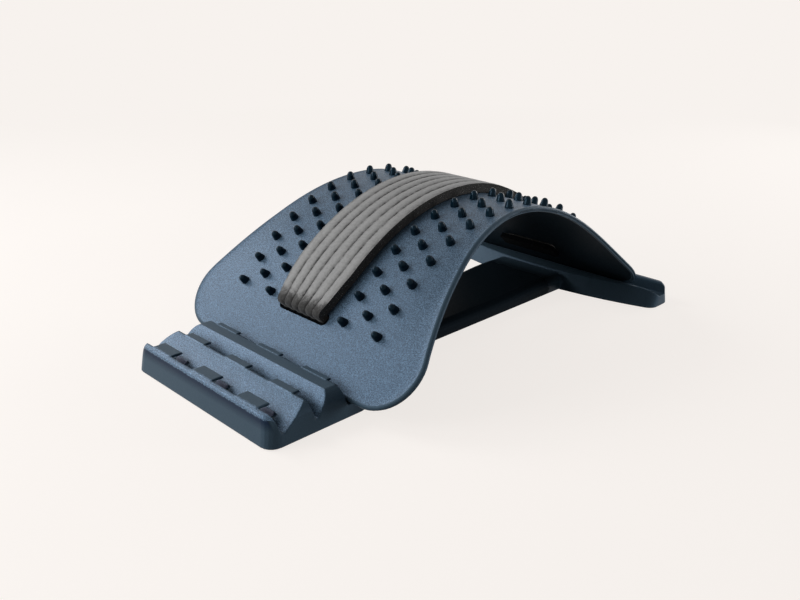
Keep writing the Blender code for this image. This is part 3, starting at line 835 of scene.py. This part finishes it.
def foam_strip():
    """The ribbed strip: soft ribs, cut sides, ends that roll down into the slots."""
    drift = rib_drift()
    path = strip_path()
    points, grooves, rings = [], [], []
    for number, (place, normal, back) in enumerate(path):
        ring, groove = strip_ring(place, normal, back, drift_at(drift, number / len(path) * drift_knots))
        rings.append([add_point(points, bowed(*point)) for point in ring])
        grooves += groove
    faces = ring_faces(rings) + [tuple(rings[0]), tuple(rings[-1])]
    made = mesh_object("foam_strip", points, faces)
    shade(made, strip_crease)
    # Each point's painted shade from its groove and the end's turn, read by the skin's colour.
    depth = made.data.attributes.new("groove", "FLOAT", "POINT")
    depth.data.foreach_set("value", grooves)
    dress(
        made,
        foam_skin_material(),
        foam_cut_material("foam_cut", foam_cut_colour, level=0.2),
        # Painted shade on the tucked ends.
        foam_cut_material("foam_tuck_painted_shade", tuck_shade_colour, level=0.05),
    )
    made.data.polygons.foreach_set("material_index", strip_looks(path, len(faces), len(rings[0])))
    return made


# Base

# The faces of one cap, which has four corners at each end.
CAP_FACES = (
    (0, 1, 2, 3),
    (4, 5, 6, 7),
    (0, 1, 5, 4),
    (1, 2, 6, 5),
    (2, 3, 7, 6),
    (3, 0, 4, 7),
)


def rail_caps():
    """The sloping tops of the rails in the outermost windows, painted pale to stand in for the floor
    seen through them.
    """
    foot = frame_box_base[0].y + first_notch
    near, far = foot + cap_from, foot + cap_to
    under = cap_low - cap_depth
    points, faces = [], []
    for index in range(tabs_in_a_row):
        end = tab_pitch * (index - 1) + tab_offset + outer_tab_width
        start = len(points)
        for x in (end - cap_length, end + cap_overlap):
            points += [(x, near, cap_low), (x, far, cap_high), (x, far, under), (x, near, under)]
        faces += [tuple(start + corner for corner in quad) for quad in CAP_FACES]
    return mesh_object("rail_caps", points, faces)


def softened_base():
    """The base's own form with its edges softened, as a moulding's are."""
    soft = bpy.data.objects.new("base_moulding", frame["nodes"]["base"].data.copy())
    bpy.context.scene.collection.objects.link(soft)
    remesh = soft.modifiers.new("remesh", "REMESH")
    remesh.mode = "VOXEL"
    remesh.voxel_size = base_voxel
    smooth = soft.modifiers.new("smooth", "SMOOTH")
    smooth.factor = base_smoothing_factor
    smooth.iterations = base_smoothing
    thin = soft.modifiers.new("thin", "DECIMATE")
    thin.ratio = base_keep
    apply_modifiers(soft)
    soft.data.shade_smooth()
    return soft


def is_grained(centre, normal):
    """Whether a place on the base is one of the teeth's grained slopes or the lip's top edge."""
    front = frame_box_base[0].y
    if centre.y > front + grained_depth or centre.z < grained_floor:
        return False
    if abs(centre.x) > grained_half_width:
        return False
    on_lip = centre.y < front + lip_depth and centre.z > lip_grain_from
    on_slope = normal.y < -slope_lean and normal.z > slope_rise
    return on_lip or on_slope


def zone_base(base_piece):
    """Give the grained places their own material, and the bridge its painted shade."""
    looks = []
    for face in base_piece.data.polygons:
        if bridge_from + bridge_fade < face.center.y < bridge_to - bridge_fade:
            looks.append(BASE_BRIDGE_SHADE)
        elif is_grained(face.center, face.normal):
            looks.append(BASE_GRAINED)
        else:
            looks.append(BASE_SMOOTH)
    base_piece.data.polygons.foreach_set("material_index", looks)


# Materials

# The colour sockets of a mix node, whose names its other kinds share.
MIX_FACTOR, MIX_A, MIX_B, MIX_RESULT = 0, 6, 7, 2


def set_inputs(node, values):
    """Set a node's inputs by name."""
    for name, value in values.items():
        node.inputs[name].default_value = value


def new_material(name, colour, roughness):
    """A Principled material, its node tree and its shader."""
    made = bpy.data.materials.new(name)
    made.use_nodes = True
    tree = made.node_tree
    shader = tree.nodes["Principled BSDF"]
    set_inputs(shader, {"Base Color": (*colour, 1.0), "Roughness": roughness})
    return made, tree, shader


def object_coords(tree):
    """The object's own coordinates."""
    coords = tree.nodes.get("Texture Coordinate") or tree.nodes.new("ShaderNodeTexCoord")
    return coords.outputs["Object"]


def noise(tree, scale, detail=3.0, rough=0.55):
    """Noise in the object's own space."""
    made = tree.nodes.new("ShaderNodeTexNoise")
    set_inputs(made, {"Scale": scale, "Detail": detail, "Roughness": rough})
    tree.links.new(object_coords(tree), made.inputs["Vector"])
    return made.outputs["Fac"]


def ramp(tree, source, stops):
    """A colour ramp: stops are (position, colour)."""
    made = tree.nodes.new("ShaderNodeValToRGB")
    points = made.color_ramp.elements
    while len(points) < len(stops):
        points.new(0.5)
    for element, (position, colour) in zip(points, stops):
        element.position = position
        element.color = (*colour, 1.0)
    tree.links.new(source, made.inputs["Fac"])
    return made.outputs["Color"]


def spread(tree, source, low, high, to_low=0.0, to_high=1.0):
    """Map a value's range onto another."""
    made = tree.nodes.new("ShaderNodeMapRange")
    set_inputs(made, {"From Min": low, "From Max": high, "To Min": to_low, "To Max": to_high})
    tree.links.new(source, made.inputs["Value"])
    return made.outputs["Result"]


def mix(tree, factor, a, b, blend="MIX"):
    """Mix two colours."""
    made = tree.nodes.new("ShaderNodeMix")
    made.data_type = "RGBA"
    made.blend_type = blend
    if isinstance(factor, float):
        made.inputs[MIX_FACTOR].default_value = factor
    else:
        tree.links.new(factor, made.inputs[MIX_FACTOR])
    tree.links.new(a, made.inputs[MIX_A])
    tree.links.new(b, made.inputs[MIX_B])
    return made.outputs[MIX_RESULT]


def multiplied(tree, a, b):
    """One colour times another."""
    return mix(tree, 1.0, a, b, "MULTIPLY")


def lightest(tree, a, b):
    """The lighter of two colours."""
    return mix(tree, 1.0, a, b, "LIGHTEN")


def bump(tree, height, strength, distance, normal=None):
    """A bump from a height."""
    made = tree.nodes.new("ShaderNodeBump")
    set_inputs(made, {"Strength": strength, "Distance": distance})
    tree.links.new(height, made.inputs["Height"])
    if normal is not None:
        tree.links.new(normal, made.inputs["Normal"])
    return made.outputs["Normal"]


def scaled(colour, factor):
    """A colour made lighter or darker."""
    return tuple(min(1.0, channel * factor) for channel in colour)


def toned(colour, stops):
    """Ramp stops of one colour: each has a place and how light the colour is there."""
    return [(position, scaled(colour, tone)) for position, tone in stops]


def moulded_plastic(name, colour, roughness, grain, contrast, level):
    """Moulded plastic: pebbled mould grain, specks of darker tone and lighter painted glints, slow drift
    of its colour.
    """
    made, tree, shader = new_material(name, colour, roughness)
    fine = noise(tree, speck_scale, detail=1.0, rough=0.5)
    coarse = noise(tree, pebble_scale, detail=2.0, rough=0.5)
    drift = noise(tree, drift_scale, rough=0.5)
    # The darker specks are the grain's tone; the lighter ones are painted glints of its sparkle.
    specks = [(position, 1 + gain * contrast) for position, gain in SPECK_GLINT_STOPS]
    body = ramp(tree, fine, toned(colour, specks))
    tone = ramp(tree, drift, toned(WHITE, DRIFT_STOPS))
    tree.links.new(multiplied(tree, body, tone), shader.inputs["Base Color"])
    patches = spread(tree, coarse, *PEBBLE_RANGE, roughness - roughness_dip, roughness + roughness_gain)
    tree.links.new(patches, shader.inputs["Roughness"])
    pebbles = bump(tree, coarse, grain, pebble_depth)
    tree.links.new(bump(tree, fine, grain, speck_depth, pebbles), shader.inputs["Normal"])
    set_inputs(shader, {
        "IOR": plastic_ior,
        "Specular IOR Level": level,
        "Specular Tint": (*plastic_sheen, 1.0),
    })
    return made


def shade_base(made):
    """Painted shade on the bridge under the arch, and a painted dark reflection under the lip's rounded
    edge.
    """
    tree = made.node_tree
    shader = tree.nodes["Principled BSDF"]
    axes = tree.nodes.new("ShaderNodeSeparateXYZ")
    tree.links.new(object_coords(tree), axes.inputs["Vector"])
    along, up = axes.outputs["Y"], axes.outputs["Z"]
    # Painted shade along the bridge, fading out towards both blocks.
    near_fade = spread(tree, along, bridge_from, bridge_from + bridge_fade)
    near = ramp(tree, near_fade, toned(WHITE, BRIDGE_SHADE_STOPS))
    far_fade = spread(tree, along, bridge_to - bridge_fade, bridge_to)
    far = ramp(tree, far_fade, toned(WHITE, RISING_STOPS))
    plastic = shader.inputs["Base Color"].links[0].from_socket
    body = multiplied(tree, plastic, lightest(tree, near, far))
    # A painted dark reflection under the lip's rounded edge, near the front only.
    lip_reflection = ramp(tree, spread(tree, up, lip_reflection_low, lip_reflection_high), LIP_REFLECTION_STOPS)
    front = cad_box[0][1] + lip_reflection_depth
    behind = ramp(tree, spread(tree, along, front, front + lip_reflection_fade), toned(WHITE, RISING_STOPS))
    painted_lip_reflection = lightest(tree, lip_reflection, behind)
    tree.links.new(multiplied(tree, body, painted_lip_reflection), shader.inputs["Base Color"])


def nub_material():
    """Glossy dark plastic."""
    made, tree, shader = new_material("nub_plastic", nub_colour, roughness=0.2)
    body = ramp(tree, noise(tree, nub_drift_scale), toned(nub_colour, NUB_DRIFT_STOPS))
    tree.links.new(body, shader.inputs["Base Color"])
    patches = spread(tree, noise(tree, nub_grain_scale), *PEBBLE_RANGE, *NUB_ROUGHNESS)
    tree.links.new(patches, shader.inputs["Roughness"])
    set_inputs(shader, {"Specular IOR Level": nub_gloss, "Specular Tint": (*nub_sheen, 1.0)})
    waves = bump(tree, noise(tree, nub_bump_scale), strength=0.10, distance=nub_bump_depth)
    tree.links.new(waves, shader.inputs["Normal"])
    return made


def foam_skin_material():
    """The strip's skin: pale ribs with random streaks, painted shade in the grooves and on the
    turned-down ends, darker noisy blots mostly there, fine pores.
    """
    made, tree, shader = new_material("foam_skin", foam_colour, roughness=0.8)
    attribute = tree.nodes.new("ShaderNodeAttribute")
    attribute.attribute_name = "groove"
    depth = attribute.outputs["Fac"]
    streaks = noise(tree, streak_scale, rough=0.6)
    blots = noise(tree, blot_scale, detail=4.0, rough=0.7)
    # Painted shade: lighter on the crowns, darker in the grooves and on the turned-down ends.
    body = ramp(tree, depth, toned(foam_colour, SKIN_SHADE_STOPS))
    shaded_and_streaked = multiplied(tree, body, ramp(tree, streaks, toned(WHITE, STREAK_STOPS)))
    shaded_streaked_blotted = multiplied(tree, shaded_and_streaked, ramp(tree, blots, toned(WHITE, BLOT_STOPS)))
    where = spread(tree, depth, *BLOT_RANGE)
    tree.links.new(mix(tree, where, shaded_and_streaked, shaded_streaked_blotted), shader.inputs["Base Color"])
    pores = noise(tree, pore_scale, rough=0.6)
    streaked = bump(tree, streaks, strength=0.25, distance=streak_depth)
    pored = bump(tree, pores, strength=0.25, distance=pore_depth, normal=streaked)
    tree.links.new(pored, shader.inputs["Normal"])
    set_inputs(shader, {"Sheen Weight": 0.15, "Sheen Roughness": 0.5, "Specular IOR Level": 0.35})
    return made


def foam_cut_material(name, colour, level):
    """The strip's cut sides: dark open cells with a few pale specks."""
    made, tree, shader = new_material(name, colour, roughness=0.9)
    cells = tree.nodes.new("ShaderNodeTexVoronoi")
    cells.inputs["Scale"].default_value = cell_scale
    tree.links.new(object_coords(tree), cells.inputs["Vector"])
    depth = cells.outputs["Distance"]
    tree.links.new(ramp(tree, depth, toned(colour, CELL_STOPS)), shader.inputs["Base Color"])
    pits = bump(tree, depth, strength=0.5, distance=cell_depth)
    tree.links.new(pits, shader.inputs["Normal"])
    shader.inputs["Specular IOR Level"].default_value = level
    return made


def rubber_material():
    """Black anti-slip rubber."""
    made, tree, shader = new_material("anti_slip_rubber", rubber_colour, roughness=0.8)
    body = ramp(tree, noise(tree, rubber_tone_scale), toned(rubber_colour, RUBBER_STOPS))
    tree.links.new(body, shader.inputs["Base Color"])
    rough = bump(tree, noise(tree, rubber_bump_scale), strength=0.3, distance=rubber_bump_depth)
    tree.links.new(rough, shader.inputs["Normal"])
    return made


def dress(obj, *materials):
    """Replace an object's materials."""
    obj.data.materials.clear()
    for item in materials:
        obj.data.materials.append(item)


# Pieces

plain = moulded_plastic(
    "smooth_plastic", smooth_colour, roughness=0.42, grain=0.03, contrast=0.06, level=0.25
)
grained = moulded_plastic(
    "grained_plastic", grained_colour, roughness=0.46, grain=0.34, contrast=0.55, level=0.85
)
base_plain = moulded_plastic(
    "base_smooth_plastic", smooth_colour, roughness=0.40, grain=0.02, contrast=0.05, level=0.25
)
base_grained_colour = scaled(grained_colour, base_grain_gain)
base_grained = moulded_plastic(
    "base_grained_plastic", base_grained_colour, roughness=0.42, grain=0.36, contrast=0.55, level=1.0
)
# Painted shade: the bridge under the arch drawn much darker, with little gloss.
bridge_shade_colour = scaled(smooth_colour, bridge_shade_tone)
base_bridge_shade = moulded_plastic(
    "base_bridge_painted_shade", bridge_shade_colour, roughness=0.50, grain=0.02, contrast=0.05, level=0.05
)
shade_base(base_plain)
# Painted shade: the panel's underside and the walls of its cuts drawn darker, with little gloss.
underside_shade_colour = scaled(smooth_colour, underside_shade_tone)
underside_shade = moulded_plastic(
    "underside_painted_shade", underside_shade_colour, roughness=0.50, grain=0.03, contrast=0.06, level=0.06
)

shell = panel_shell((grained, plain, underside_shade))
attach(shell, body_arch)
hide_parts("arch_panel")

nubs = nub_field()
dress(nubs, nub_material())
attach(nubs, body_arch)

strip = foam_strip()
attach(strip, body_arch)
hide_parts("foam_pad")

frame_box_base = [Vector(corner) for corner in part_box("base")]
moulding = softened_base()
dress(moulding, base_plain, base_grained, base_bridge_shade)
zone_base(moulding)
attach(moulding, body_base)
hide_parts("base")

# Painted light: the caps' pale tone stands in for the floor seen through the windows.
caps = rail_caps()
dress(
    caps,
    moulded_plastic("cap_painted_floor", cap_painted_floor_colour, roughness=0.50, grain=0.10, contrast=0.10, level=0.5),
)
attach(caps, body_base)

rubber = rubber_material()
for name, obj in frame["nodes"].items():
    if name.startswith("foot_pad"):
        obj.material_slots[0].material = rubber


# Stage

def light_path_mix(tree, seen, other, rays):
    """One shader for the named kinds of ray, and another for the rest."""
    path = tree.nodes.new("ShaderNodeLightPath")
    factor = path.outputs[rays[0]]
    for ray in rays[1:]:
        either = tree.nodes.new("ShaderNodeMath")
        either.operation = "MAXIMUM"
        tree.links.new(factor, either.inputs[0])
        tree.links.new(path.outputs[ray], either.inputs[1])
        factor = either.outputs[0]
    made = tree.nodes.new("ShaderNodeMixShader")
    tree.links.new(factor, made.inputs[0])
    tree.links.new(other, made.inputs[1])
    tree.links.new(seen, made.inputs[2])
    return made.outputs[0]


def floor_material():
    """A pale glow that keeps some shadow near the object, and a dim colour for bounced light."""
    made = bpy.data.materials.new("pale_floor")
    made.use_nodes = True
    tree = made.node_tree
    tree.nodes.remove(tree.nodes["Principled BSDF"])
    lit = tree.nodes.new("ShaderNodeBsdfDiffuse")
    lit.inputs["Color"].default_value = (*[channel * floor_lift for channel in pale], 1.0)
    glow = tree.nodes.new("ShaderNodeEmission")
    glow.inputs["Color"].default_value = (*pale, 1.0)
    both = tree.nodes.new("ShaderNodeMixShader")
    distance = tree.nodes.new("ShaderNodeVectorMath")
    distance.operation = "LENGTH"
    tree.links.new(object_coords(tree), distance.inputs[0])
    share = spread(tree, distance.outputs["Value"], fade_from, fade_to, floor_glow, 1.0)
    tree.links.new(share, both.inputs[0])
    tree.links.new(lit.outputs[0], both.inputs[1])
    tree.links.new(glow.outputs[0], both.inputs[2])
    dim = tree.nodes.new("ShaderNodeBsdfDiffuse")
    dim.inputs["Color"].default_value = (*floor_bounce, 1.0)
    out = light_path_mix(tree, both.outputs[0], dim.outputs[0], BACKGROUND_RAYS)
    tree.links.new(out, tree.nodes["Material Output"].inputs["Surface"])
    return made


def make_floor():
    """A plain pale floor that keeps a soft shadow."""
    signs = ((-1, -1), (1, -1), (1, 1), (-1, 1))
    corners = [(x * floor_reach, y * floor_reach, 0) for x, y in signs]
    floor = mesh_object("floor", corners, [(0, 1, 2, 3)])
    dress(floor, floor_material())


def make_world():
    """Pale surroundings to the camera and in reflections, softer light on the object."""
    world = bpy.data.worlds.new("pale_world")
    bpy.context.scene.world = world
    world.use_nodes = True
    tree = world.node_tree
    seen = tree.nodes["Background"]
    seen.inputs["Color"].default_value = (*pale, 1.0)
    other = tree.nodes.new("ShaderNodeBackground")
    other.inputs["Color"].default_value = (1.0, 1.0, 1.0, 1.0)
    other.inputs["Strength"].default_value = ambient
    out = light_path_mix(tree, seen.outputs[0], other.outputs[0], BACKGROUND_RAYS)
    tree.links.new(out, tree.nodes["World Output"].inputs["Surface"])


def area_light(name, direction, distance, size, radiance):
    """A soft square light at a distance from the object's middle, of a given brightness."""
    data = bpy.data.lights.new(name, "AREA")
    data.shape = "SQUARE"
    data.size = size
    data.energy = radiance * size * size * math.pi
    made = bpy.data.objects.new(name, data)
    bpy.context.scene.collection.objects.link(made)
    towards = Vector(direction).normalized()
    made.location = Vector(lamp_aim) + towards * distance
    made.rotation_euler = towards.to_track_quat("Z", "Y").to_euler()


def make_camera():
    """The photograph's viewing angle."""
    data = bpy.data.cameras.new("camera")
    data.sensor_width = sensor_width
    data.lens = focal_pixels / picture_width * sensor_width
    made = bpy.data.objects.new("camera", data)
    bpy.context.scene.collection.objects.link(made)
    made.location = camera_place
    made.rotation_euler = (math.radians(90 - camera_pitch), 0.0, math.radians(camera_turn))
    bpy.context.scene.camera = made


make_floor()
make_world()
for lamp in LAMPS:
    area_light(*lamp)
make_camera()
bpy.context.scene.view_settings.view_transform = "Standard"
